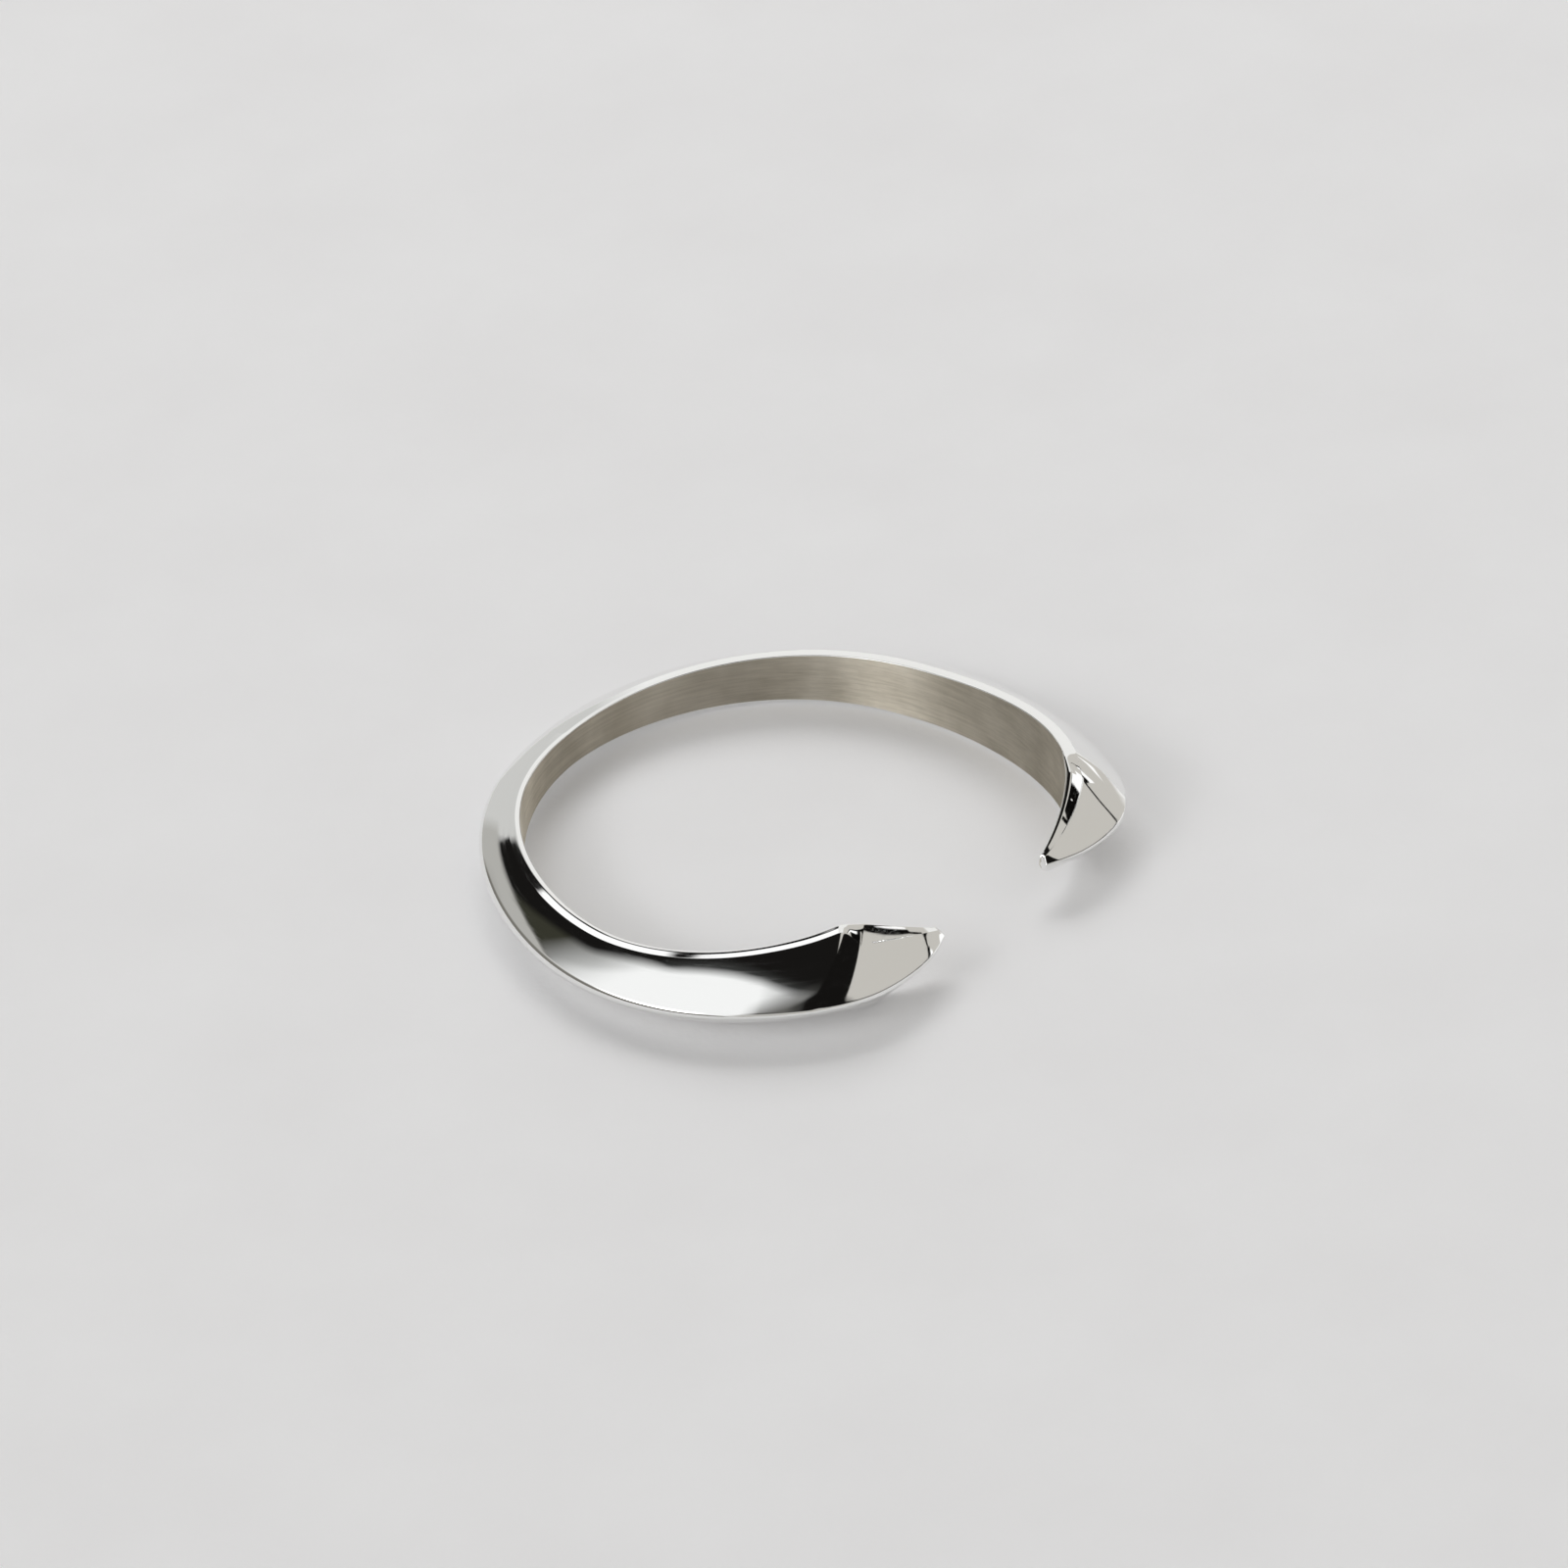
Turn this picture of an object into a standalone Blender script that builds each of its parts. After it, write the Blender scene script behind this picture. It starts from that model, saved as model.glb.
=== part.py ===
"""Open cuff ring: one cast piece of polished silver.

The band has a plain satin bore, a narrow flat rim above and below, and an outer side that slopes from each rim to a
ridge. It grows taller and thicker towards its two ends. Each end is a spearhead: the upper rim rises to a crest, a
crease crosses the outer side, and two facets with a sloping strip beside the bore run out to a small blunt tip. The
lower rim has no crest.

The ring lies on its side as it rests by itself. It touches the surface with the lower rim at its two sides and at a
shoulder, and the back of the lower rim stays a little above the surface.

Frame: +Z up, the gap towards -Y, the mirror plane of the two ends at X = 0 of the ring. The origin is on the surface,
under the middle of the ring's outline.
"""
import math

import bmesh
import bpy
from mathutils import Matrix, Vector

MM = 0.001

# Bore and the shape it has been sprung to
BORE_RADIUS = 8.75 * MM
# A cuff that is pushed over a finger stays a little out of round.
SPRUNG_SWELL = 0.25 * MM
# Columns: lobes around the bore, their swell as a share of SPRUNG_SWELL, and the turn of the first lobe from the gap's
# centre towards +X, in degrees.
SPRUNG_LOBES = (
    (2, 0.42, -3.0),
    (3, 1.02, 38.1),
    (4, 0.55, 23.5),
)

# Where the crest is, as a turn from the gap's centre in degrees
CREST_TURN = 40.0
# The two ends were finished by hand and sprung apart, so they are not quite alike.
# Columns: side of the gap, turn of the crease at the bore, how much further the crease is turned at the ridge, drop of
# the strip at the crease as a share of CREASE_STRIP_DROP, turn of the tip, and rise of the tip as a share of TIP_RISE.
ENDS = (
    (-1, 35.4, 8.0, 0.85, 17.8, 0.0),
    (1, 34.4, 3.5, 1.15, 16.6, 1.0),
)
# How far a tip is bent up out of the ring's plane, and the turn at which the bend begins
TIP_RISE = 0.16 * MM
BEND_TURN = 90.0
# How much further the tip's edge is turned at the ridge than at the bore
TIP_SWEEP = -1.2
# How far the bore wall bends in at the tip
TIP_TUCK = 0.26 * MM

# Heights of the bore wall above the ridge
CREST_HEIGHT = 1.85 * MM
CREASE_HEIGHT = 1.60 * MM
TIP_HEIGHT = 0.30 * MM
# Depths of the bore wall below the ridge
SHOULDER_DEPTH = 1.20 * MM
TIP_DEPTH = 0.40 * MM

# How far the ridge's two sides would reach beyond the bore if they met in a sharp edge
SHOULDER_REACH = 2.00 * MM
TIP_REACH = 0.30 * MM

# The rim beside the bore, which becomes the sloping strip of the spearhead
RIM_WIDTH = 0.42 * MM
CREASE_STRIP_WIDTH = 0.55 * MM
TIP_STRIP_WIDTH = 0.18 * MM
# How far the strip falls away from the bore's edge across its width
CREASE_STRIP_DROP = 0.40 * MM
TIP_STRIP_DROP = 0.04 * MM

# Roundings
BORE_EDGE_ROUND = 0.10 * MM
RIM_EDGE_CHAMFER = 0.05 * MM
BACK_RIDGE_ROUND = 0.42 * MM
SHOULDER_RIDGE_ROUND = 0.14 * MM
TIP_RIDGE_ROUND = 0.08 * MM
TIP_ROUND = 0.10 * MM
# How much of the tip's section is left at its blunt end
TIP_END_SHARE = 0.65

# Steps of the mesh
STEP_TURN = 2.2
SPEARHEAD_STEPS = 12
BORE_EDGE_STEPS = 2
RIDGE_STEPS = 4

# The band from the back to the crest.
# Columns: share of the way from the back to the crest, height as a share of CREST_HEIGHT, depth as a share of
# SHOULDER_DEPTH, reach as a share of SHOULDER_REACH, and ridge rounding as a share of the way from
# SHOULDER_RIDGE_ROUND to BACK_RIDGE_ROUND.
BAND = (
    (0.00, 0.355, 0.550, 0.91, 1.00),
    (0.18, 0.420, 0.640, 0.90, 0.95),
    (0.36, 0.480, 0.740, 0.89, 0.80),
    (0.50, 0.530, 0.825, 0.91, 0.65),
    (0.57, 0.556, 0.882, 0.93, 0.57),
    (0.64, 0.585, 0.890, 0.95, 0.50),
    (0.79, 0.730, 0.930, 0.97, 0.35),
    (0.89, 0.840, 0.970, 0.98, 0.20),
    (0.95, 0.910, 0.990, 0.99, 0.10),
    (1.00, 1.000, 1.000, 1.00, 0.00),
)

# The spearhead from the crease to the tip.
# Columns: share of the way from the crease to the tip, and how much of the reach between TIP_REACH and SHOULDER_REACH
# is left there. The facets bulge, so the reach falls slowly at first.
SPEARHEAD = (
    (0.00, 0.99),
    (0.25, 0.955),
    (0.50, 0.76),
    (0.75, 0.47),
    (0.90, 0.21),
    (1.00, 0.00),
)

SILVER = (0.86, 0.85, 0.83, 1.0)


def lerp(a, b, share):
    return a + (b - a) * share


def curve_through(rows, column, share):
    """Smooth value of one column of a table at a share of the way, with the slopes of its neighbours."""
    last = len(rows) - 1
    row = 0
    while row < last - 1 and share > rows[row + 1][0]:
        row += 1
    x0, x1 = rows[row][0], rows[row + 1][0]
    y0, y1 = rows[row][column], rows[row + 1][column]
    before = rows[max(row - 1, 0)]
    after = rows[min(row + 2, last)]
    slope0 = (y1 - before[column]) / (x1 - before[0])
    slope1 = (after[column] - y0) / (after[0] - x0)
    if row == 0 and rows[0][0] == 0.0:
        slope0 = (y1 - y0) / (x1 - x0) * 0.5
    width = x1 - x0
    s = (share - x0) / width
    value = (2 * s**3 - 3 * s**2 + 1) * y0 + (s**3 - 2 * s**2 + s) * width * slope0
    return value + (-2 * s**3 + 3 * s**2) * y1 + (s**3 - s**2) * width * slope1


def bore_at(turn):
    """Radius of the sprung bore at a signed turn in degrees."""
    radius = BORE_RADIUS
    for lobes, swell, first in SPRUNG_LOBES:
        radius += SPRUNG_SWELL * swell * math.cos(lobes * math.radians(turn - first))
    return radius


def rise_at(turn, end):
    """How far an end is bent up at a turn."""
    tip_turn, share = end[4], end[5]
    return TIP_RISE * share * (max(0.0, BEND_TURN - turn) / (BEND_TURN - tip_turn)) ** 2


def band_station(share, end):
    """Sizes of the section at a share of the way from the back to the crest."""
    return {
        "turn": lerp(180.0, CREST_TURN, share),
        "sweep": end[2] * max(0.0, (share - 0.7) / 0.3) ** 2,
        "height": CREST_HEIGHT * curve_through(BAND, 1, share),
        "depth": SHOULDER_DEPTH * curve_through(BAND, 2, share),
        "reach": SHOULDER_REACH * curve_through(BAND, 3, share),
        "strip": RIM_WIDTH,
        "drop": 0.0,
        "tuck": 0.0,
        "round": lerp(SHOULDER_RIDGE_ROUND, BACK_RIDGE_ROUND, curve_through(BAND, 4, share)),
    }


def spearhead_station(share, end):
    """Sizes of the section at a share of the way from the crease to the tip."""
    return {
        "turn": lerp(end[1], end[4], share),
        "sweep": lerp(end[2], TIP_SWEEP, share),
        "height": lerp(CREASE_HEIGHT, TIP_HEIGHT, share),
        "depth": lerp(SHOULDER_DEPTH, TIP_DEPTH, share),
        "reach": lerp(TIP_REACH, SHOULDER_REACH, curve_through(SPEARHEAD, 1, share)),
        "strip": lerp(CREASE_STRIP_WIDTH, TIP_STRIP_WIDTH, share),
        "drop": lerp(CREASE_STRIP_DROP * end[3], TIP_STRIP_DROP, share),
        "tuck": TIP_TUCK * share,
        "round": lerp(SHOULDER_RIDGE_ROUND, TIP_RIDGE_ROUND, share),
    }


def half_ring_loops(end):
    """Sections from the back to the tip of one end."""
    band_steps = round((180.0 - CREST_TURN) / STEP_TURN)
    stations = [band_station(step / band_steps, end) for step in range(band_steps + 1)]
    stations += [spearhead_station(step / SPEARHEAD_STEPS, end) for step in range(SPEARHEAD_STEPS + 1)]
    return [section_loop(station, end) for station in stations]


def rim_profile(height, strip, drop):
    """Points (distance beyond the bore, level) from one end of the bore wall over the rim to the outer face."""
    points = []
    for step in range(BORE_EDGE_STEPS + 1):
        angle = math.pi / 2 * step / BORE_EDGE_STEPS
        points.append((
            BORE_EDGE_ROUND * (1 - math.cos(angle)),
            height - BORE_EDGE_ROUND * (1 - math.sin(angle)),
        ))
    return points + [(strip - RIM_EDGE_CHAMFER, height - drop * (1 - RIM_EDGE_CHAMFER / strip))]


def facing(run, rise):
    """Angle above the level at which an outer face looks, from its run outwards and its rise."""
    return math.atan2(run, rise)


def ridge_profile(reach, rounding, above, below):
    """Points of the ridge's arc, from the lower face to the upper one. Above and below are how the faces look."""
    out = rounding * (math.sin(above) + math.sin(below)) / math.sin(above + below)
    up = (rounding - math.cos(below) * out) / math.sin(below)
    points = []
    for step in range(2 * RIDGE_STEPS + 1):
        angle = lerp(-below, above, step / (2 * RIDGE_STEPS))
        points.append((reach - out + rounding * math.cos(angle), up + rounding * math.sin(angle)))
    return points


def place(station, end, distance, level):
    """Point of the ring in its own frame, with the ring's axis along +Z and the gap towards -Y."""
    wall = station["height"] if level > 0 else station["depth"]
    fall = 1 - min(1.0, abs(level) / wall)
    turn = end[0] * (station["turn"] + station["sweep"] * fall)
    radius = bore_at(turn) - station["tuck"] + distance
    angle = math.radians(turn)
    rise = rise_at(station["turn"], end)
    return Vector((radius * math.sin(angle), -radius * math.cos(angle), level + rise))


def section_loop(station, end):
    """Closed loop of points: over the lower rim, up the outer side, over the upper rim and back down the bore."""
    strip, reach = station["strip"], station["reach"]
    upper_edge = station["height"] - station["drop"]
    lower_edge = station["depth"]
    above = facing(reach - strip, upper_edge)
    below = facing(reach - strip, lower_edge)
    upper = rim_profile(station["height"], strip, station["drop"])
    lower = rim_profile(station["depth"], strip, 0.0)
    upper.append((strip + RIM_EDGE_CHAMFER * math.sin(above), upper_edge - RIM_EDGE_CHAMFER * math.cos(above)))
    lower.append((strip + RIM_EDGE_CHAMFER * math.sin(below), lower_edge - RIM_EDGE_CHAMFER * math.cos(below)))
    loop = [(distance, -level) for distance, level in lower]
    loop += ridge_profile(reach, station["round"], above, below)
    loop += reversed(upper)
    return [place(station, end, distance, level) for distance, level in loop]


def blunt_end(loop, ahead):
    """The tip's last section, drawn in towards its middle and moved ahead."""
    middle = sum(loop, Vector()) / len(loop)
    return [middle + (point - middle) * TIP_END_SHARE + ahead for point in loop]


def ring_mesh():
    """Loft through all sections, from the blunt tip of one end round the back to the other."""
    left, right = ENDS
    loops = list(reversed(half_ring_loops(left))) + half_ring_loops(right)[1:]
    for first, second, at_start in ((0, 1, True), (-1, -2, False)):
        middle = sum(loops[first], Vector()) / len(loops[first])
        inner = sum(loops[second], Vector()) / len(loops[second])
        ahead = (middle - inner).normalized() * TIP_ROUND
        end = blunt_end(loops[first], ahead)
        loops.insert(0, end) if at_start else loops.append(end)

    shape = bmesh.new()
    rings = [[shape.verts.new(point) for point in loop] for loop in loops]
    count = len(rings[0])
    for here, there in zip(rings, rings[1:]):
        for corner in range(count):
            after = (corner + 1) % count
            shape.faces.new((here[corner], here[after], there[after], there[corner]))
    for ring in (rings[0], rings[-1]):
        centre = shape.verts.new(sum((vert.co for vert in ring), Vector()) / count)
        for corner in range(count):
            shape.faces.new((ring[corner], ring[(corner + 1) % count], centre))
    bmesh.ops.recalc_face_normals(shape, faces=shape.faces)
    bmesh.ops.triangulate(shape, faces=shape.faces)
    mesh = bpy.data.meshes.new("open_cuff_ring")
    shape.to_mesh(mesh)
    shape.free()
    return mesh


def lowest(points, lean, front):
    """Lowest level of the front or back half of the ring at a lean."""
    sine, cosine = math.sin(lean), math.cos(lean)
    return min(p.z * cosine - p.y * sine for p in points if (p.y < 0) == front)


def resting_lean(points):
    """Lean at which the lower rim touches the surface both in front of its sides and behind them."""
    low, high = 0.0, math.radians(20.0)
    for _ in range(50):
        middle = (low + high) / 2
        if lowest(points, middle, True) < lowest(points, middle, False):
            low = middle
        else:
            high = middle
    return (low + high) / 2


def clear_scene():
    for thing in list(bpy.data.objects):
        bpy.data.objects.remove(thing, do_unlink=True)


def silver():
    material = bpy.data.materials.new("polished_silver")
    material.use_nodes = True
    surface = material.node_tree.nodes["Principled BSDF"]
    surface.inputs["Base Color"].default_value = SILVER
    surface.inputs["Metallic"].default_value = 1.0
    surface.inputs["Roughness"].default_value = 0.06
    return material


def main():
    clear_scene()
    collection = bpy.data.collections.new("open_cuff_ring")
    bpy.context.scene.collection.children.link(collection)

    mesh = ring_mesh()
    mesh.shade_smooth()
    mesh.set_sharp_from_angle(angle=math.radians(28.0))
    mesh.materials.append(silver())
    ring = bpy.data.objects.new("open_cuff_ring", mesh)
    collection.objects.link(ring)

    points = [vert.co.copy() for vert in mesh.vertices]
    lean = resting_lean(points)
    ring.rotation_euler = (-lean, 0.0, 0.0)
    turned = [Matrix.Rotation(-lean, 3, "X") @ point for point in points]
    middle = [(min(p[i] for p in turned) + max(p[i] for p in turned)) / 2 for i in range(2)]
    ring.location = (-middle[0], -middle[1], -min(p.z for p in turned))
    bpy.context.view_layer.update()


main()
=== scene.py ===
"""Looks of an open cuff ring: one cast piece of silver, mirror-polished outside and satin in the bore.

The band has a narrow flat rim above and below and slopes from each rim to a ridge. Each end is a faceted
spearhead. The ring is lofted here at a finer step than the solid it stands for, from the same sizes, so that
its polish reflects without facets. It lies on its lower rim on a pale sheet of paper, lit from behind.
"""
import math

import bmesh
import bpy
from mathutils import Matrix, Vector


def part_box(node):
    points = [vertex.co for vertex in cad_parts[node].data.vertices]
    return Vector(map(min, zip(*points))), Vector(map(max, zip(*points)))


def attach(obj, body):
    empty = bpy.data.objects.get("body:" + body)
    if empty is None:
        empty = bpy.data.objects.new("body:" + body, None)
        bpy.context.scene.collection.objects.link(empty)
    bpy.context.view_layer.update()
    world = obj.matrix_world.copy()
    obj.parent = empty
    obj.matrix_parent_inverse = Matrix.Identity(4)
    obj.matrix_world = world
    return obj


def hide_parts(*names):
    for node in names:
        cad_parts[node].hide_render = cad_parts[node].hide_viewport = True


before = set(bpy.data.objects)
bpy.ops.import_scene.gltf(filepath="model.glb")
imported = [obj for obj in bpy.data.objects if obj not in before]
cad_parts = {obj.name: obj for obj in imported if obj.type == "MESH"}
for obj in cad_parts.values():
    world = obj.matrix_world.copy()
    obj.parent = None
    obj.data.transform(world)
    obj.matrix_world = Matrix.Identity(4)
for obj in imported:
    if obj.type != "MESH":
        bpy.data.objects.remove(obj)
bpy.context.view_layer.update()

MM = 0.001

# Bore and the shape it has been sprung to
BORE_RADIUS = 8.75 * MM
SPRUNG_SWELL = 0.25 * MM
# Columns: lobes around the bore, swell as a share of SPRUNG_SWELL, and the first lobe's turn in degrees
SPRUNG_LOBES = (
    (2, 0.42, -3.0),
    (3, 1.02, 38.1),
    (4, 0.55, 23.5),
)

# Turns are from the gap's centre, in degrees
CREST_TURN = 40.0
# The two ends differ a little. A crease's turn is at the bore, and its sweep is how much further it turns
# at the ridge. The drop of the strip at the crease, the rise of the tip and the rounding of the bore's edge
# along the strip and at the crest are shares of CREASE_STRIP_DROP, TIP_RISE, STRIP_EDGE_ROUND and
# BORE_EDGE_ROUND.
ENDS = (
    {
        "side": -1, "crease_turn": 35.4, "crease_sweep": 8.0, "tip_turn": 17.8,
        "strip_drop": 0.9, "tip_rise": 0.0, "strip_edge": 0.25, "crest_edge": 1.0,
    },
    {
        "side": 1, "crease_turn": 34.4, "crease_sweep": 3.5, "tip_turn": 16.6,
        "strip_drop": 1.05, "tip_rise": 1.0, "strip_edge": 1.0, "crest_edge": 0.25,
    },
)
# An end is bent up from BEND_TURN on, and in from the crease on, and this is how far its tip gets
TIP_RISE = 0.16 * MM
BEND_TURN = 90.0
TIP_TUCK = 0.26 * MM
# Sweep at the tip, and the share of the way from the back to the crest at which the crease's sweep starts
TIP_SWEEP = -1.2
SWEEP_START = 0.7

# Heights of the bore wall above the ridge, and depths below it
CREST_HEIGHT = 1.85 * MM
CREASE_HEIGHT = 1.60 * MM
TIP_HEIGHT = 0.30 * MM
SHOULDER_DEPTH = 1.20 * MM
TIP_DEPTH = 0.40 * MM

# How far the outer faces would reach beyond the bore if they met in a sharp ridge
SHOULDER_REACH = 2.00 * MM
TIP_REACH = 0.30 * MM

# The rim beside the bore, which becomes the sloping strip of the spearhead
RIM_WIDTH = 0.42 * MM
CREASE_STRIP_WIDTH = 0.55 * MM
TIP_STRIP_WIDTH = 0.18 * MM
CREASE_STRIP_DROP = 0.40 * MM
TIP_STRIP_DROP = 0.04 * MM

# Roundings
BORE_EDGE_ROUND = 0.10 * MM
STRIP_EDGE_ROUND = 0.14 * MM
TIP_EDGE_ROUND = 0.07 * MM
RIM_EDGE_ROUND = 0.05 * MM
BACK_RIDGE_ROUND = 0.42 * MM
SHOULDER_RIDGE_ROUND = 0.14 * MM
TIP_RIDGE_ROUND = 0.08 * MM
CREST_ROUND = 0.22 * MM
CREASE_ROUND = 0.05 * MM
# Share of BORE_EDGE_ROUND that the upper edge has at the back, and the share of the way from there to the
# crest by which it has the crest's
BACK_EDGE_SHARE = 0.25
EDGE_CHANGE_END = 0.40
# Outer part of the upper rim that polishing has tilted outwards: where it starts and ends to turn, as shares
# of the rim, and its tilt
CROWN_START = 0.12
CROWN_END = 0.44
CROWN_TILT = math.radians(11.0)
# How far the outer faces bow out from polishing, as a share of their width, and how that turns their edges
FACE_BOW = 0.020
FACE_TURN = math.atan(4 * FACE_BOW)
# Length over which a tip is rounded off, and the share of its section that is left at the end
TIP_ROUND = 0.12 * MM
TIP_END_SHARE = 0.65

# Columns: share of the way from the back to the crest, height as a share of CREST_HEIGHT, depth as a share
# of SHOULDER_DEPTH, reach as a share of SHOULDER_REACH, and ridge rounding as a share of the way from
# SHOULDER_RIDGE_ROUND to BACK_RIDGE_ROUND
HEIGHT_COLUMN, DEPTH_COLUMN, REACH_COLUMN, ROUND_COLUMN = 1, 2, 3, 4
BAND = (
    (0.00, 0.355, 0.550, 0.91, 1.00),
    (0.18, 0.420, 0.640, 0.90, 0.95),
    (0.36, 0.480, 0.740, 0.89, 0.80),
    (0.50, 0.530, 0.825, 0.91, 0.65),
    (0.57, 0.556, 0.882, 0.93, 0.57),
    (0.64, 0.585, 0.890, 0.95, 0.50),
    (0.79, 0.730, 0.930, 0.97, 0.35),
    (0.89, 0.840, 0.970, 0.98, 0.20),
    (0.95, 0.910, 0.990, 0.99, 0.10),
    (1.00, 1.000, 1.000, 1.00, 0.00),
)
# Columns: share of the way from the crease to the tip, and how much of the reach between TIP_REACH and
# SHOULDER_REACH is left there
HEAD_REACH_COLUMN = 1
SPEARHEAD = (
    (0.00, 0.99),
    (0.25, 0.955),
    (0.50, 0.76),
    (0.75, 0.47),
    (0.90, 0.21),
    (1.00, 0.00),
)

# Steps of the mesh
BAND_STEPS = 220
CREST_STEPS = 16
SPEARHEAD_STEPS = 44
CREST_ROUND_STEPS = 9
CREASE_ROUND_STEPS = 6
NOSE_STEPS = 5
EDGE_STEPS = 6
RIDGE_STEPS = 12
# Shares of the way across a face, a rim and the bore wall at which they have points. The first and last are
# close to the roundings beside them, so that the flat parts reflect as flat.
FACE_SHARES = (0.02, 0.09, 0.20, 0.32, 0.44, 0.56, 0.68, 0.80, 0.91, 0.98)
RIM_SHARES = (0.04, 0.11, 0.16, 0.21, 0.26, 0.31, 0.36, 0.41, 0.46, 0.70, 0.95)
BORE_SHARES = (0.01, 0.12, 0.3, 0.5, 0.7, 0.88, 0.99)

# Mesh slots of the two finishes
POLISHED, SATIN = 0, 1

# Finishes. Pairs are for the clearest and the haziest spots, or for the darkest and the lightest. A range is
# the part of a noise that is spread between them.
POLISH_TONE = "#F5F5F4"
POLISH_ROUGHNESS = (0.028, 0.11)
SCRATCH_RANGE = (0.45, 0.8)
SCRATCH_LENGTH = 2.2 * MM
SCRATCH_WIDTH = 0.09 * MM
WAVE_LENGTH = 2.6 * MM
WAVE_HEIGHT = 0.003 * MM
PIT_SPACING = 2.4 * MM
PIT_RADIUS = 0.05 * MM
PIT_DEPTH = 0.012 * MM
SATIN_TONES = ("#B8B0A0", "#E8E1D3")
SATIN_ROUGHNESS = (0.40, 0.56)
SATIN_RANGE = (0.6, 1.4)
BRUSH_LENGTH = 3.0 * MM
BRUSH_WIDTH = 0.10 * MM
SATIN_CLOUD = 1.6 * MM
PAPER_TONES = ("#E6E5E6", "#EEEEEF")
PAPER_ROUGHNESS = 0.9
PAPER_GLOSS = 0.1
# Painted glow of the paper, which lightens the ring's shadow
PAPER_GLOW = 0.10
PAPER_CLOUD = 7.0 * MM
PAPER_FIBRE = 0.30 * MM
PAPER_TOOTH = 0.008 * MM
# Half a side of the sheet, in metres, and how many squares it is drawn with along a side
PAPER_HALF_SIDE = 1.5
PAPER_SQUARES = 8

# How the ring lies: its lower rim touches at both sides and at a shoulder
RESTING_LEAN = math.radians(0.9767)

# Camera, from the photograph: a long lens that looks down on the ring from beyond its left-hand end
SENSOR_WIDTH = 36.0
FRAME_PIXELS = 1600
FOCAL_PIXELS = 12628
CAMERA_DISTANCE = 400 * MM
CAMERA_AZIMUTH = math.radians(-50.03)
CAMERA_ELEVATION = math.radians(34.11)
CAMERA_ROLL = math.radians(-4.87)
CLIP_START = 10 * MM
# Pixels from the middle of the bore to the frame's centre, which lies to the left of it and above it
AIM_LEFT = 3.4
AIM_ABOVE = 44.8

# The studio. Turns are to the right of the camera, in degrees, and heights are degrees above the horizon.
ROOM_TONE = "#171615"
# Columns: tone, strength, left and right edges with how soft they are, then the bottom and the top edge,
# each as the turn that it faces, its height there and how soft it is. None is an edge it does without.
PANELS = (
    # wall behind, high wall behind, and walls behind on the left, on the left and on the right
    ("#F6F6F5", 1.0, 125.0, -170.0, 3.0, None, (180.0, 32.8, 0.6)),
    ("#F2F2F0", 1.0, 132.0, -174.5, 2.0, None, (180.0, 66.0, 2.0)),
    ("#CFCFCD", 1.0, -172.0, -149.0, 3.0, None, (141.0, 43.3, 1.0)),
    ("#B5B4B0", 1.0, -152.0, -93.0, 3.0, None, (-84.0, 35.1, 1.2)),
    ("#C9C6C0", 1.0, 43.0, 140.0, 4.0, None, (90.0, 66.0, 3.0)),
    # low bright wall on the right
    ("#FFFFFF", 1.1, 104.0, 130.0, 2.0, None, (115.0, 10.5, 1.0)),
    # two reflectors high behind
    ("#FFFFFF", 1.1, -165.5, -148.0, 2.0, (-160.0, 34.2, 0.6), (-101.0, 63.6, 1.0)),
    ("#FFFFFF", 1.1, -176.0, -150.0, 3.0, (180.0, 50.0, 1.0), (180.0, 60.0, 1.0)),
    # dim screen on the left
    ("#38382F", 1.0, -160.0, -78.0, 6.0, (-84.0, 35.1, 1.2), (-62.5, 57.0, 2.0)),
    # soft spill on the ceiling, the softbox on the left and in front, and a bright reflector low in it
    ("#363736", 1.0, -95.0, 6.0, 8.0, (-45.0, 40.0, 3.0), (-45.0, 64.0, 2.0)),
    ("#F9FAFA", 1.04, -109.5, -70.0, 22.0, (-84.0, 35.1, 1.2), (-62.5, 57.0, 2.5)),
    ("#F9FAFA", 1.04, -104.0, 2.0, 20.0, None, (-45.0, 61.6, 2.5)),
    ("#FFFFFF", 6.5, -80.0, -43.0, 16.0, None, (-45.0, 38.0, 6.0)),
    # low cloth on the left
    ("#7A7872", 1.0, -140.0, -20.0, 6.0, None, (-80.0, 26.0, 8.0)),
    # camera and its stand
    ("#63625F", 1.0, -16.0, 8.0, 6.0, None, (-5.0, 50.3, 6.0)),
    # flag in front on the right and low wall under it
    ("#141312", 1.0, 3.0, 93.0, 5.0, None, (16.0, 48.5, 1.5)),
    ("#BDBBB7", 1.0, -20.0, 93.0, 6.0, None, (0.0, 38.5, 2.0)),
    # narrow flags on the right, and a narrow reflector between them
    ("#0C0B0A", 1.0, 93.0, 110.5, 1.0, (98.0, 8.5, 1.0), (98.0, 26.0, 1.0)),
    ("#0C0B0A", 1.0, 86.0, 118.5, 1.0, (112.0, 25.6, 0.6), (112.0, 28.7, 0.6)),
    ("#0C0B0A", 1.0, 118.0, 131.0, 1.0, (125.0, 27.3, 0.5), (125.0, 28.9, 0.6)),
    ("#FFFFFF", 1.1, 97.0, 117.0, 1.5, (108.0, 22.0, 0.6), (108.0, 25.4, 0.6)),
)
# Key light, a softbox behind the ring that the polish doesn't show, in metres and watts
KEY_TURN = -172.0
KEY_HEIGHT = 42.0
KEY_DISTANCE = 1.0
KEY_WIDTH = 0.75
KEY_TALL = 0.42
KEY_POWER = 3.6
# Pixels across the map from which the studio's light is drawn
STUDIO_MAP = 512

# Sockets of a colour mix: its two colours and what comes out
MIX_FIRST, MIX_SECOND, MIX_RESULT = 6, 7, 2


def lerp(a, b, share):
    return a + (b - a) * share


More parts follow.
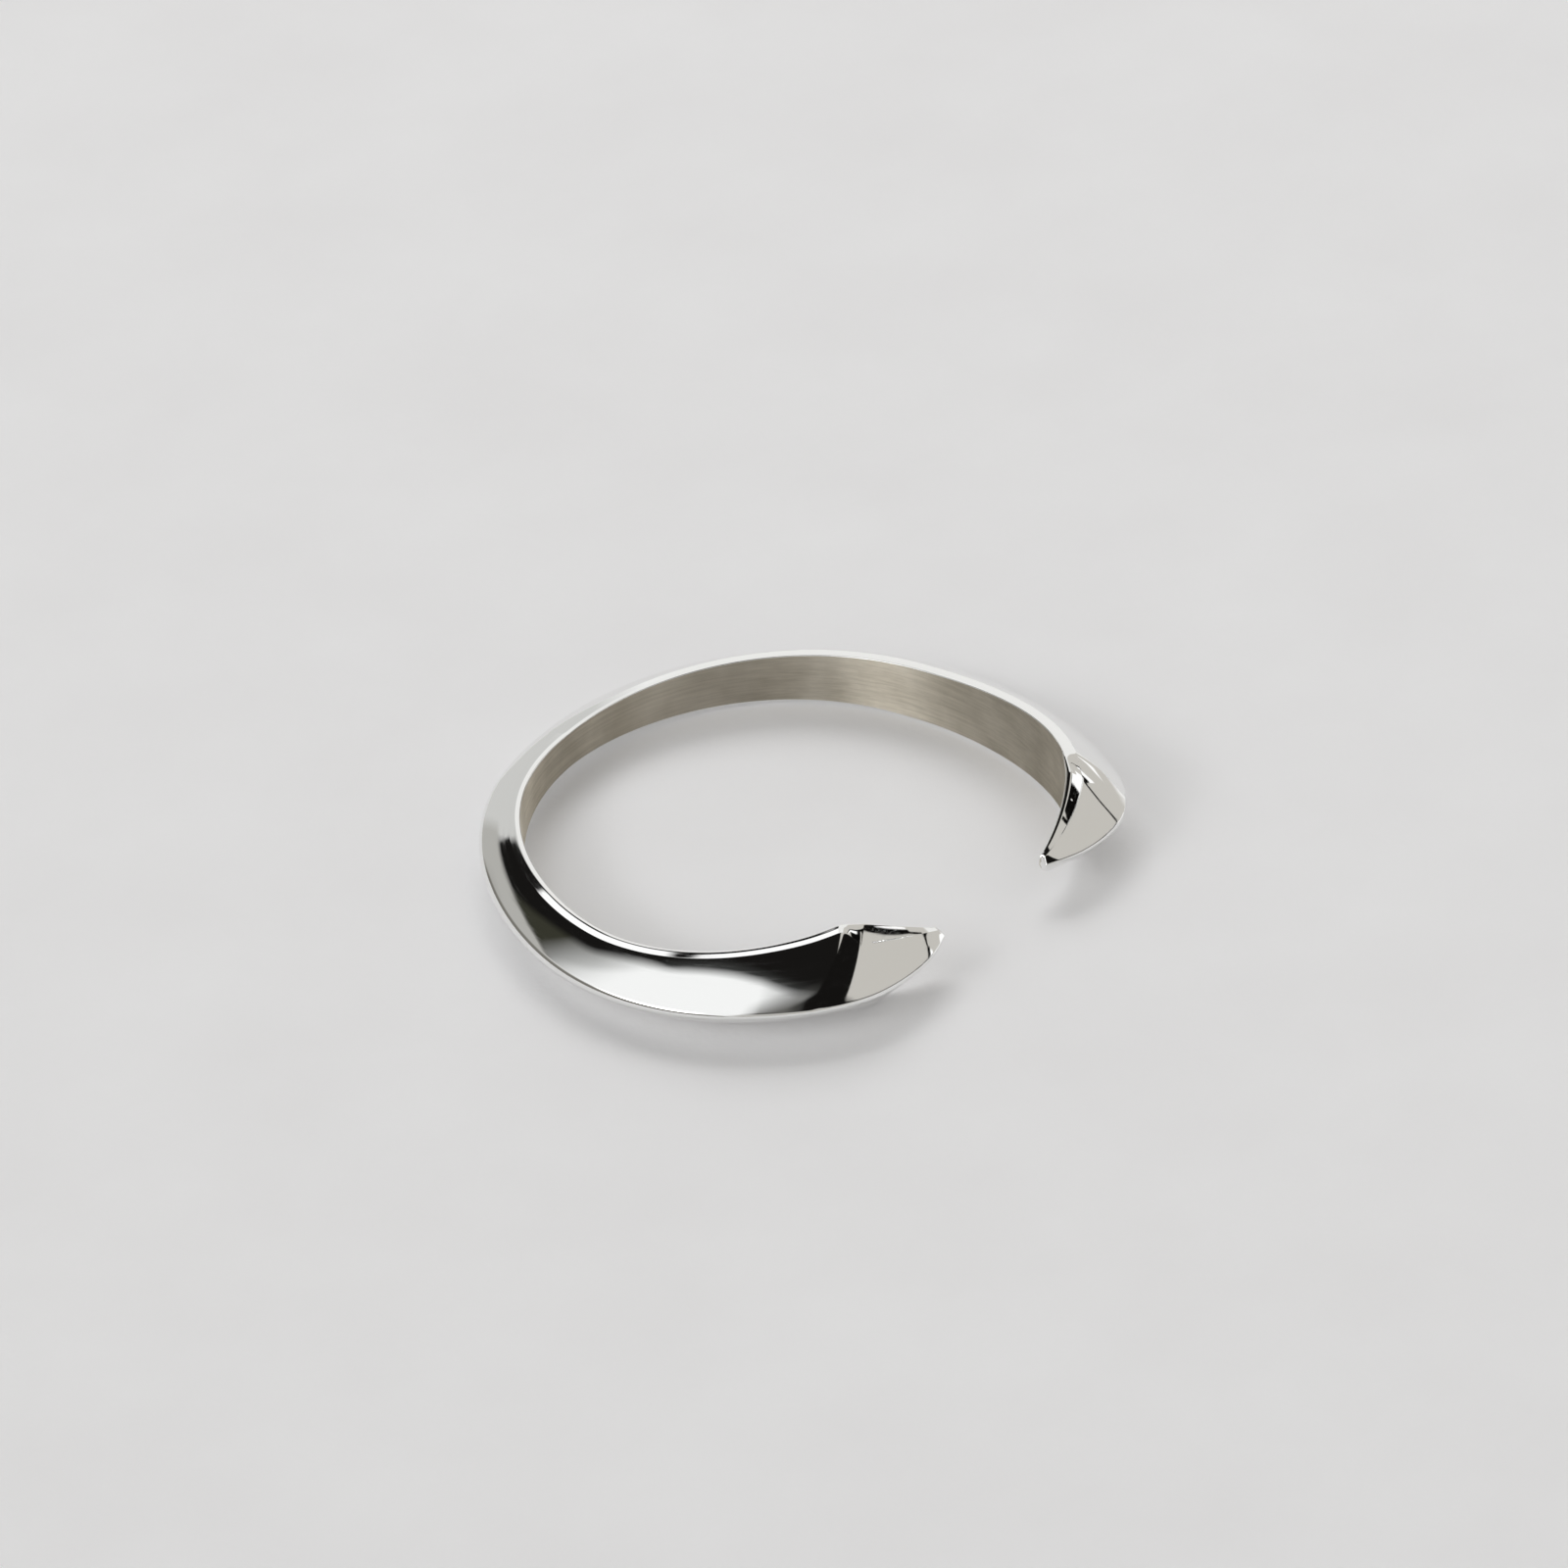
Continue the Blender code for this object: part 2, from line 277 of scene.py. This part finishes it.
def linear(hex_colour):
    """Linear colour of an sRGB hex value."""
    parts = [int(hex_colour[i:i + 2], 16) / 255 for i in (1, 3, 5)]
    return [c / 12.92 if c <= 0.04045 else ((c + 0.055) / 1.055) ** 2.4 for c in parts] + [1.0]


def curve_through(rows, column, share):
    """Smooth value of one column of a table at a share of the way, with the slopes of its neighbours."""
    last = len(rows) - 1
    row = 0
    while row < last - 1 and share > rows[row + 1][0]:
        row += 1
    x0, x1 = rows[row][0], rows[row + 1][0]
    y0, y1 = rows[row][column], rows[row + 1][column]
    before = rows[max(row - 1, 0)]
    after = rows[min(row + 2, last)]
    slope0 = (y1 - before[column]) / (x1 - before[0])
    slope1 = (after[column] - y0) / (after[0] - x0)
    if row == 0:
        # The first stretch starts out at half its slope
        slope0 = (y1 - y0) / (x1 - x0) / 2
    width = x1 - x0
    s = (share - x0) / width
    value = (2 * s**3 - 3 * s**2 + 1) * y0 + (s**3 - 2 * s**2 + s) * width * slope0
    return value + (-2 * s**3 + 3 * s**2) * y1 + (s**3 - s**2) * width * slope1


def bore_at(turn):
    """Radius of the sprung bore at a signed turn in degrees."""
    radius = BORE_RADIUS
    for lobes, swell, first in SPRUNG_LOBES:
        radius += SPRUNG_SWELL * swell * math.cos(lobes * math.radians(turn - first))
    return radius


def rise_at(turn, end):
    """How far an end is bent up at a turn."""
    return TIP_RISE * end["tip_rise"] * (max(0.0, BEND_TURN - turn) / (BEND_TURN - end["tip_turn"])) ** 2


def band_station(share, end):
    """Sizes of the section at a share of the way from the back to the crest."""
    edge_share = lerp(BACK_EDGE_SHARE, end["crest_edge"], min(1.0, share / EDGE_CHANGE_END))
    return {
        "turn": lerp(180.0, CREST_TURN, share),
        "sweep": end["crease_sweep"] * max(0.0, (share - SWEEP_START) / (1 - SWEEP_START)) ** 2,
        "height": CREST_HEIGHT * curve_through(BAND, HEIGHT_COLUMN, share),
        "depth": SHOULDER_DEPTH * curve_through(BAND, DEPTH_COLUMN, share),
        "reach": SHOULDER_REACH * curve_through(BAND, REACH_COLUMN, share),
        "strip": RIM_WIDTH,
        "drop": 0.0,
        "crown": 1.0,
        "edge": BORE_EDGE_ROUND * edge_share,
        "tuck": 0.0,
        "round": lerp(SHOULDER_RIDGE_ROUND, BACK_RIDGE_ROUND, curve_through(BAND, ROUND_COLUMN, share)),
    }


def spearhead_station(share, end):
    """Sizes of the section at a share of the way from the crease to the tip."""
    return {
        "turn": lerp(end["crease_turn"], end["tip_turn"], share),
        "sweep": lerp(end["crease_sweep"], TIP_SWEEP, share),
        "height": lerp(CREASE_HEIGHT, TIP_HEIGHT, share),
        "depth": lerp(SHOULDER_DEPTH, TIP_DEPTH, share),
        "reach": lerp(TIP_REACH, SHOULDER_REACH, curve_through(SPEARHEAD, HEAD_REACH_COLUMN, share)),
        "strip": lerp(CREASE_STRIP_WIDTH, TIP_STRIP_WIDTH, share),
        "drop": lerp(CREASE_STRIP_DROP * end["strip_drop"], TIP_STRIP_DROP, share),
        "crown": 0.0,
        "edge": lerp(STRIP_EDGE_ROUND, TIP_EDGE_ROUND, share) * end["strip_edge"],
        "tuck": TIP_TUCK * share,
        "round": lerp(SHOULDER_RIDGE_ROUND, TIP_RIDGE_ROUND, share),
    }


def between(first, second, share):
    """Station at a share of the way from the crest to the crease."""
    return {size: lerp(first[size], second[size], share) for size in first}


def across(start, end, shares, bow=0.0):
    """Points at shares of the way from start to end, bowed out to its right by a share of its length."""
    dx, dy = end[0] - start[0], end[1] - start[1]
    points = []
    for share in shares:
        out = bow * 4 * share * (1 - share)
        points.append((start[0] + dx * share + dy * out, start[1] + dy * share - dx * out))
    return points


def arc(middle, radius, first, last, steps):
    """Points of an arc, from its first angle up to and including its last."""
    return [
        (
            middle[0] + radius * math.cos(lerp(first, last, step / steps)),
            middle[1] + radius * math.sin(lerp(first, last, step / steps)),
        )
        for step in range(steps + 1)
    ]


def crown_fall(share, tilt):
    """Fall of the tilted outer part of the rim below its flat part, as a share of the rim's width."""
    turn = CROWN_END - CROWN_START
    part = min(max((share - CROWN_START) / turn, 0.0), 1.0)
    return math.tan(tilt) * (turn * part**2 / 2 + max(0.0, share - CROWN_END))


def rim_profile(height, strip, drop, reach, crown, edge_round):
    """Points (distance beyond the bore, level) over a rim from the bore wall out, and the face's facing."""
    outer = height - drop
    slope = math.atan2(drop, strip)
    facing = math.atan2(reach - strip, outer)
    points = arc((edge_round, height - edge_round), edge_round, math.pi, math.pi / 2 - slope, EDGE_STEPS)
    turn = (math.pi / 2 - slope) - facing
    back = RIM_EDGE_ROUND * math.tan(turn / 2)
    middle = (
        strip - back * math.cos(slope) - RIM_EDGE_ROUND * math.sin(slope),
        outer + back * math.sin(slope) - RIM_EDGE_ROUND * math.cos(slope),
    )
    tilt = CROWN_TILT * crown
    edge = arc(middle, RIM_EDGE_ROUND, math.pi / 2 - slope - tilt, facing + FACE_TURN, EDGE_STEPS)
    width = edge[0][0] - points[-1][0]
    fall = crown_fall(1.0, tilt) * width
    flat = across(points[-1], edge[0], RIM_SHARES)
    points += [(x, y - crown_fall(share, tilt) * width) for (x, y), share in zip(flat, RIM_SHARES)]
    return points + [(x, y - fall) for x, y in edge], facing


def ridge_profile(reach, rounding, above, below):
    """Points of the ridge's arc from the lower face to the upper one. Above and below are their facings."""
    out = rounding * (math.sin(above) + math.sin(below)) / math.sin(above + below)
    up = (rounding - math.cos(below) * out) / math.sin(below)
    return arc((reach - out, up), rounding, FACE_TURN - below, above - FACE_TURN, RIDGE_STEPS)


def place(station, end, distance, level):
    """Point of the ring in its own frame, with the ring's axis along +Z and the gap towards -Y."""
    wall = station["height"] if level > 0 else station["depth"]
    fall = 1 - min(1.0, abs(level) / wall)
    turn = end["side"] * (station["turn"] + station["sweep"] * fall)
    radius = bore_at(turn) - station["tuck"] + distance
    angle = math.radians(turn)
    rise = rise_at(station["turn"], end)
    return Vector((radius * math.sin(angle), -radius * math.cos(angle), level + rise))


def section_loop(station, end):
    """Closed loop of points: over the lower rim, up the outer side, over the upper rim and down the bore."""
    strip, reach = station["strip"], station["reach"]
    upper, above = rim_profile(
        station["height"], strip, station["drop"], reach, station["crown"], station["edge"]
    )
    lower, below = rim_profile(station["depth"], strip, 0.0, reach, 0.0, BORE_EDGE_ROUND)
    ridge = ridge_profile(reach, station["round"], above, below)
    loop = [(distance, -level) for distance, level in lower]
    upper = list(reversed(upper))
    loop += across(loop[-1], ridge[0], FACE_SHARES, FACE_BOW) + ridge
    loop += across(ridge[-1], upper[0], FACE_SHARES, FACE_BOW) + upper
    loop += across(loop[-1], loop[0], BORE_SHARES)
    return [place(station, end, distance, level) for distance, level in loop]


def rounded_corner(before, corner, after, steps):
    """Sections that round a corner of the loft between the two sections beside it."""
    loops = []
    for step in range(steps + 1):
        s = step / steps
        loops.append([
            a * (1 - s) ** 2 + b * 2 * s * (1 - s) + c * s**2 for a, b, c in zip(before, corner, after)
        ])
    return loops


def half_ring_loops(end):
    """Sections from the back to the tip of one end."""
    crest = band_station(1.0, end)
    crease = spearhead_station(0.0, end)
    band_length = BORE_RADIUS * math.radians(180.0 - CREST_TURN)
    crest_length = BORE_RADIUS * math.radians(CREST_TURN - end["crease_turn"])
    head_length = BORE_RADIUS * math.radians(end["crease_turn"] - end["tip_turn"])
    # Where the band ends, the facet beyond the crest starts and ends, and the spearhead starts
    band_end = 1 - CREST_ROUND / band_length
    first, last = CREST_ROUND / crest_length, 1 - CREASE_ROUND / crest_length
    head_start = CREASE_ROUND / head_length

    loops = []
    for step in range(BAND_STEPS):
        loops.append(section_loop(band_station(band_end * step / BAND_STEPS, end), end))
    loops += rounded_corner(
        section_loop(band_station(band_end, end), end),
        section_loop(crest, end),
        section_loop(between(crest, crease, first), end),
        CREST_ROUND_STEPS,
    )
    for step in range(1, CREST_STEPS):
        share = lerp(first, last, step / CREST_STEPS)
        loops.append(section_loop(between(crest, crease, share), end))
    loops += rounded_corner(
        section_loop(between(crest, crease, last), end),
        section_loop(crease, end),
        section_loop(spearhead_station(head_start, end), end),
        CREASE_ROUND_STEPS,
    )
    for step in range(1, SPEARHEAD_STEPS + 1):
        share = lerp(head_start, 1.0, step / SPEARHEAD_STEPS)
        loops.append(section_loop(spearhead_station(share, end), end))
    return loops + rounded_nose(loops[-1], loops[-2])


def rounded_nose(tip, inner):
    """Sections that round the tip off to its blunt end."""
    middle = sum(tip, Vector()) / len(tip)
    ahead = (middle - sum(inner, Vector()) / len(inner)).normalized() * TIP_ROUND
    loops = []
    for step in range(1, NOSE_STEPS + 1):
        angle = math.pi / 2 * step / NOSE_STEPS
        share = 1 - (1 - TIP_END_SHARE) * (1 - math.cos(angle))
        loops.append([middle + (point - middle) * share + ahead * math.sin(angle) for point in tip])
    return loops


def ring_mesh():
    """Loft through all sections, from the blunt tip of one end round the back to the other."""
    left, right = ENDS
    loops = list(reversed(half_ring_loops(left))) + half_ring_loops(right)[1:]
    shape = bmesh.new()
    rings = [[shape.verts.new(point) for point in loop] for loop in loops]
    count = len(rings[0])
    bore_from = count - len(BORE_SHARES) - 1
    for here, there in zip(rings, rings[1:]):
        for corner in range(count):
            after = (corner + 1) % count
            face = shape.faces.new((here[corner], here[after], there[after], there[corner]))
            face.material_index = SATIN if corner >= bore_from else POLISHED
    for ring in (rings[0], rings[-1]):
        centre = shape.verts.new(sum((vert.co for vert in ring), Vector()) / count)
        for corner in range(count):
            shape.faces.new((ring[corner], ring[(corner + 1) % count], centre))
    bmesh.ops.recalc_face_normals(shape, faces=shape.faces)
    for face in shape.faces:
        face.smooth = True
    mesh = bpy.data.meshes.new("open_cuff_ring_polished")
    shape.to_mesh(mesh)
    shape.free()
    return mesh


def add(tree, kind, links=(), values=(), **settings):
    """Adds a node. Links are (socket, other node's output), values (socket, value), and settings its own."""
    node = tree.nodes.new(kind)
    for name, value in settings.items():
        setattr(node, name, value)
    for name, value in values:
        node.inputs[name].default_value = value
    for name, source in links:
        tree.links.new(source, node.inputs[name])
    return node


def new_material(name):
    material = bpy.data.materials.new(name)
    material.use_nodes = True
    return material, material.node_tree, material.node_tree.nodes["Principled BSDF"]


def along_ring(tree, middle, length, width):
    """Place along the ring in lengths, and up and out in widths, so that a pattern runs round the ring."""
    point = add(tree, "ShaderNodeTexCoord").outputs["Object"]
    point = add(tree, "ShaderNodeVectorMath", [(0, point)], [(1, middle)], operation="SUBTRACT").outputs[0]
    parts = add(tree, "ShaderNodeSeparateXYZ", [(0, point)])
    x, y, z = parts.outputs
    # The turn is counted from the back, so that it jumps only in the gap
    turn = add(tree, "ShaderNodeMath", [(0, x), (1, y)], operation="ARCTAN2").outputs[0]
    flat = add(tree, "ShaderNodeVectorMath", [(0, point)], [(1, (1.0, 1.0, 0.0))], operation="MULTIPLY")
    out = add(tree, "ShaderNodeVectorMath", [(0, flat.outputs[0])], operation="LENGTH").outputs["Value"]
    unrolled = add(tree, "ShaderNodeCombineXYZ", [(0, turn), (1, z), (2, out)]).outputs[0]
    scale = (BORE_RADIUS / length, 1.0 / width, 1.0 / width)
    return add(tree, "ShaderNodeVectorMath", [(0, unrolled)], [(1, scale)], operation="MULTIPLY").outputs[0]


def noise(tree, where, scale, detail, roughness=0.5):
    """Value of a noise texture, between 0 and 1."""
    values = [("Scale", scale), ("Detail", detail), ("Roughness", roughness)]
    return add(tree, "ShaderNodeTexNoise", [("Vector", where)], values).outputs["Fac"]


def spread(tree, value, start, end, **settings):
    """Value spread from one range to another."""
    values = [("From Min", start[0]), ("From Max", start[1]), ("To Min", end[0]), ("To Max", end[1])]
    return add(tree, "ShaderNodeMapRange", [("Value", value)], values, **settings).outputs["Result"]


def bumped(tree, height, depth, normal=None):
    """Normal of a surface with a bump of a depth, on top of a normal that it has already."""
    links = [("Height", height)]
    if normal:
        links.append(("Normal", normal))
    return add(tree, "ShaderNodeBump", links, [("Strength", 1.0), ("Distance", depth)]).outputs["Normal"]


def shaded(tree, share, tones):
    """Colour between two tones at a share."""
    first, second = tones
    values = [(MIX_FIRST, linear(first)), (MIX_SECOND, linear(second))]
    return add(tree, "ShaderNodeMix", [("Factor", share)], values, data_type="RGBA").outputs[MIX_RESULT]


def polished_silver(middle):
    """Cast silver, mirror-polished on a buff: a bright mirror with slow waves, scratches and a few pits."""
    material, tree, surface = new_material("polished_silver")
    surface.inputs["Base Color"].default_value = linear(POLISH_TONE)
    surface.inputs["Metallic"].default_value = 1.0
    # Scratches of the buff run along the ring and haze the mirror a little where they lie close. Real ones
    # are finer than a pixel, so they are drawn at the width where they still show.
    lines = along_ring(tree, middle, SCRATCH_LENGTH, SCRATCH_WIDTH)
    scratches = noise(tree, lines, scale=1.0, detail=3.0, roughness=0.65)
    haze = spread(tree, scratches, SCRATCH_RANGE, POLISH_ROUGHNESS)
    tree.links.new(haze, surface.inputs["Roughness"])
    # Slow waves left by hand polishing bend the edges of what the mirror shows
    point = add(tree, "ShaderNodeTexCoord").outputs["Object"]
    waved = bumped(tree, noise(tree, point, scale=1.0 / WAVE_LENGTH, detail=1.0), WAVE_HEIGHT)
    # A few pits of the casting are left in the polish
    cells = add(tree, "ShaderNodeTexVoronoi", [("Vector", point)], [("Scale", 1.0 / PIT_SPACING)])
    pit = (0.0, PIT_RADIUS / PIT_SPACING)
    pits = spread(tree, cells.outputs["Distance"], pit, (0.0, 1.0), interpolation_type="SMOOTHSTEP")
    tree.links.new(bumped(tree, pits, PIT_DEPTH, waved), surface.inputs["Normal"])
    return material


def satin_silver(middle):
    """Silver of the bore, satin-finished with an abrasive: a soft upright sheen, brush lines and clouds."""
    material, tree, surface = new_material("satin_silver")
    surface.inputs["Metallic"].default_value = 1.0
    # The brush lines run round the bore, and a quarter turn draws the sheen out across them
    surface.inputs["Anisotropic"].default_value = 1.0
    surface.inputs["Anisotropic Rotation"].default_value = 0.25
    round_the_ring = add(tree, "ShaderNodeTangent", direction_type="RADIAL", axis="Z")
    tree.links.new(round_the_ring.outputs[0], surface.inputs["Tangent"])
    # Real brush lines are finer than a pixel, so they are drawn at the width where they still show
    lines = along_ring(tree, middle, BRUSH_LENGTH, BRUSH_WIDTH)
    brushed = noise(tree, lines, scale=1.0, detail=3.0, roughness=0.7)
    # Uneven pressure of the abrasive leaves soft clouds in the satin
    point = add(tree, "ShaderNodeTexCoord").outputs["Object"]
    clouds = noise(tree, point, scale=1.0 / SATIN_CLOUD, detail=3.0)
    both = add(tree, "ShaderNodeMath", [(0, brushed), (1, clouds)], operation="ADD").outputs[0]
    shade = spread(tree, both, SATIN_RANGE, (0.0, 1.0))
    tree.links.new(shaded(tree, shade, SATIN_TONES), surface.inputs["Base Color"])
    tree.links.new(spread(tree, brushed, (0.0, 1.0), SATIN_ROUGHNESS), surface.inputs["Roughness"])
    return material


def paper():
    """Pale matt paper that the ring lies on: faintly mottled, with the tooth of its fibres."""
    material, tree, surface = new_material("pale_paper")
    surface.inputs["Roughness"].default_value = PAPER_ROUGHNESS
    surface.inputs["Specular IOR Level"].default_value = PAPER_GLOSS
    # Painted glow: the paper gives off a little light of its own, which lightens the ring's shadow on it
    surface.inputs["Emission Color"].default_value = linear("#FFFFFF")
    surface.inputs["Emission Strength"].default_value = PAPER_GLOW
    point = add(tree, "ShaderNodeTexCoord").outputs["Object"]
    clouds = noise(tree, point, scale=1.0 / PAPER_CLOUD, detail=3.0)
    tree.links.new(shaded(tree, clouds, PAPER_TONES), surface.inputs["Base Color"])
    fibres = noise(tree, point, scale=1.0 / PAPER_FIBRE, detail=2.0)
    tree.links.new(bumped(tree, fibres, PAPER_TOOTH), surface.inputs["Normal"])
    return material


def heading(turn):
    """Level direction at a turn to the right of the camera."""
    angle = CAMERA_AZIMUTH + math.radians(turn)
    return Vector((math.sin(angle), -math.cos(angle), 0.0))


def upright_edge(turn):
    """Normal of the plane through the ring and an upright edge, towards the edge's right."""
    return heading(turn + 90.0)


def level_edge(turn, height):
    """Normal of the plane through the ring and a level edge that faces a turn, upwards."""
    angle = math.radians(height)
    return heading(turn) * -math.sin(angle) + Vector((0.0, 0.0, math.cos(angle)))


def studio():
    """World that stands for the studio: a dark room with panels round the ring, too far off for parallax."""
    world = bpy.data.worlds.new("studio")
    world.use_nodes = True
    world.cycles.sampling_method = "MANUAL"
    world.cycles.sample_map_resolution = STUDIO_MAP
    tree = world.node_tree
    way = add(tree, "ShaderNodeTexCoord").outputs["Generated"]
    seen = add(tree, "ShaderNodeRGB").outputs[0]
    seen.default_value = linear(ROOM_TONE)
    for tone, strength, left, right, soft, bottom, top in PANELS:
        edges = [(upright_edge(left), soft), (-upright_edge(right), soft)]
        if bottom:
            edges.append((level_edge(*bottom[:2]), bottom[2]))
        if top:
            edges.append((-level_edge(*top[:2]), top[2]))
        share = None
        for normal, softness in edges:
            towards = normal / math.radians(softness)
            inside = add(tree, "ShaderNodeVectorMath", [(0, way)], [(1, towards)], operation="DOT_PRODUCT")
            # Half at the edge itself, and none to all over its softness
            ramp = add(
                tree, "ShaderNodeMath", [(0, inside.outputs["Value"])], [(1, 0.5)],
                operation="ADD", use_clamp=True,
            ).outputs[0]
            if share is None:
                share = ramp
            else:
                share = add(tree, "ShaderNodeMath", [(0, share), (1, ramp)], operation="MULTIPLY").outputs[0]
        light = [part * strength for part in linear(tone)[:3]] + [1.0]
        mix = add(
            tree, "ShaderNodeMix", [("Factor", share), (MIX_FIRST, seen)], [(MIX_SECOND, light)],
            data_type="RGBA",
        )
        seen = mix.outputs[MIX_RESULT]
    tree.links.new(seen, tree.nodes["Background"].inputs["Color"])
    return world


def key_light(middle):
    """Softbox that lights the paper and the satin from behind, and that the polish doesn't show."""
    height = math.radians(KEY_HEIGHT)
    way = heading(KEY_TURN) * math.cos(height) + Vector((0.0, 0.0, math.sin(height)))
    data = bpy.data.lights.new("key_light", "AREA")
    data.shape = "RECTANGLE"
    data.size = KEY_WIDTH
    data.size_y = KEY_TALL
    data.energy = KEY_POWER
    light = bpy.data.objects.new("key_light", data)
    light.location = middle + way * KEY_DISTANCE
    light.rotation_euler = way.to_track_quat("Z", "Y").to_euler()
    light.visible_glossy = False
    bpy.context.scene.collection.objects.link(light)


# The ring
mesh = ring_mesh()
mesh.transform(Matrix.Rotation(-RESTING_LEAN, 4, "X"))
cad_low, cad_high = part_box("open_cuff_ring")
low = Vector([min(v.co[i] for v in mesh.vertices) for i in range(3)])
high = Vector([max(v.co[i] for v in mesh.vertices) for i in range(3)])
shift = (Vector(cad_low) + Vector(cad_high) - low - high) / 2
shift.z = cad_low[2] - low.z
mesh.transform(Matrix.Translation(shift))
ring = bpy.data.objects.new("open_cuff_ring_polished", mesh)
bpy.context.scene.collection.objects.link(ring)
bore_middle = shift.copy()
mesh.materials.append(polished_silver(bore_middle))
mesh.materials.append(satin_silver(bore_middle))
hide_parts("open_cuff_ring")
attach(ring, "root")

# The paper
floor_mesh = bpy.data.meshes.new("paper_sheet")
floor_shape = bmesh.new()
bmesh.ops.create_grid(floor_shape, x_segments=PAPER_SQUARES, y_segments=PAPER_SQUARES, size=PAPER_HALF_SIDE)
floor_shape.to_mesh(floor_mesh)
floor_shape.free()
floor = bpy.data.objects.new("paper_sheet", floor_mesh)
bpy.context.scene.collection.objects.link(floor)
floor_mesh.materials.append(paper())

# Light
bpy.context.scene.world = studio()
key_light(bore_middle)
bpy.context.scene.view_settings.view_transform = "Standard"

# Camera
back = Vector((
    math.sin(CAMERA_AZIMUTH) * math.cos(CAMERA_ELEVATION),
    -math.cos(CAMERA_AZIMUTH) * math.cos(CAMERA_ELEVATION),
    math.sin(CAMERA_ELEVATION),
))
right = Vector((math.cos(CAMERA_AZIMUTH), math.sin(CAMERA_AZIMUTH), 0.0))
up = back.cross(right)
rolled_right = right * math.cos(CAMERA_ROLL) + up * math.sin(CAMERA_ROLL)
rolled_up = up * math.cos(CAMERA_ROLL) - right * math.sin(CAMERA_ROLL)
pixel = CAMERA_DISTANCE / FOCAL_PIXELS
aim = bore_middle - rolled_right * AIM_LEFT * pixel + rolled_up * AIM_ABOVE * pixel
camera_data = bpy.data.cameras.new("camera")
camera_data.sensor_width = SENSOR_WIDTH
camera_data.lens = SENSOR_WIDTH * FOCAL_PIXELS / FRAME_PIXELS
camera_data.clip_start = CLIP_START
camera = bpy.data.objects.new("camera", camera_data)
bpy.context.scene.collection.objects.link(camera)
axes = Matrix((rolled_right, rolled_up, back)).transposed().to_4x4()
camera.matrix_world = Matrix.Translation(aim + back * CAMERA_DISTANCE) @ axes
bpy.context.scene.camera = camera
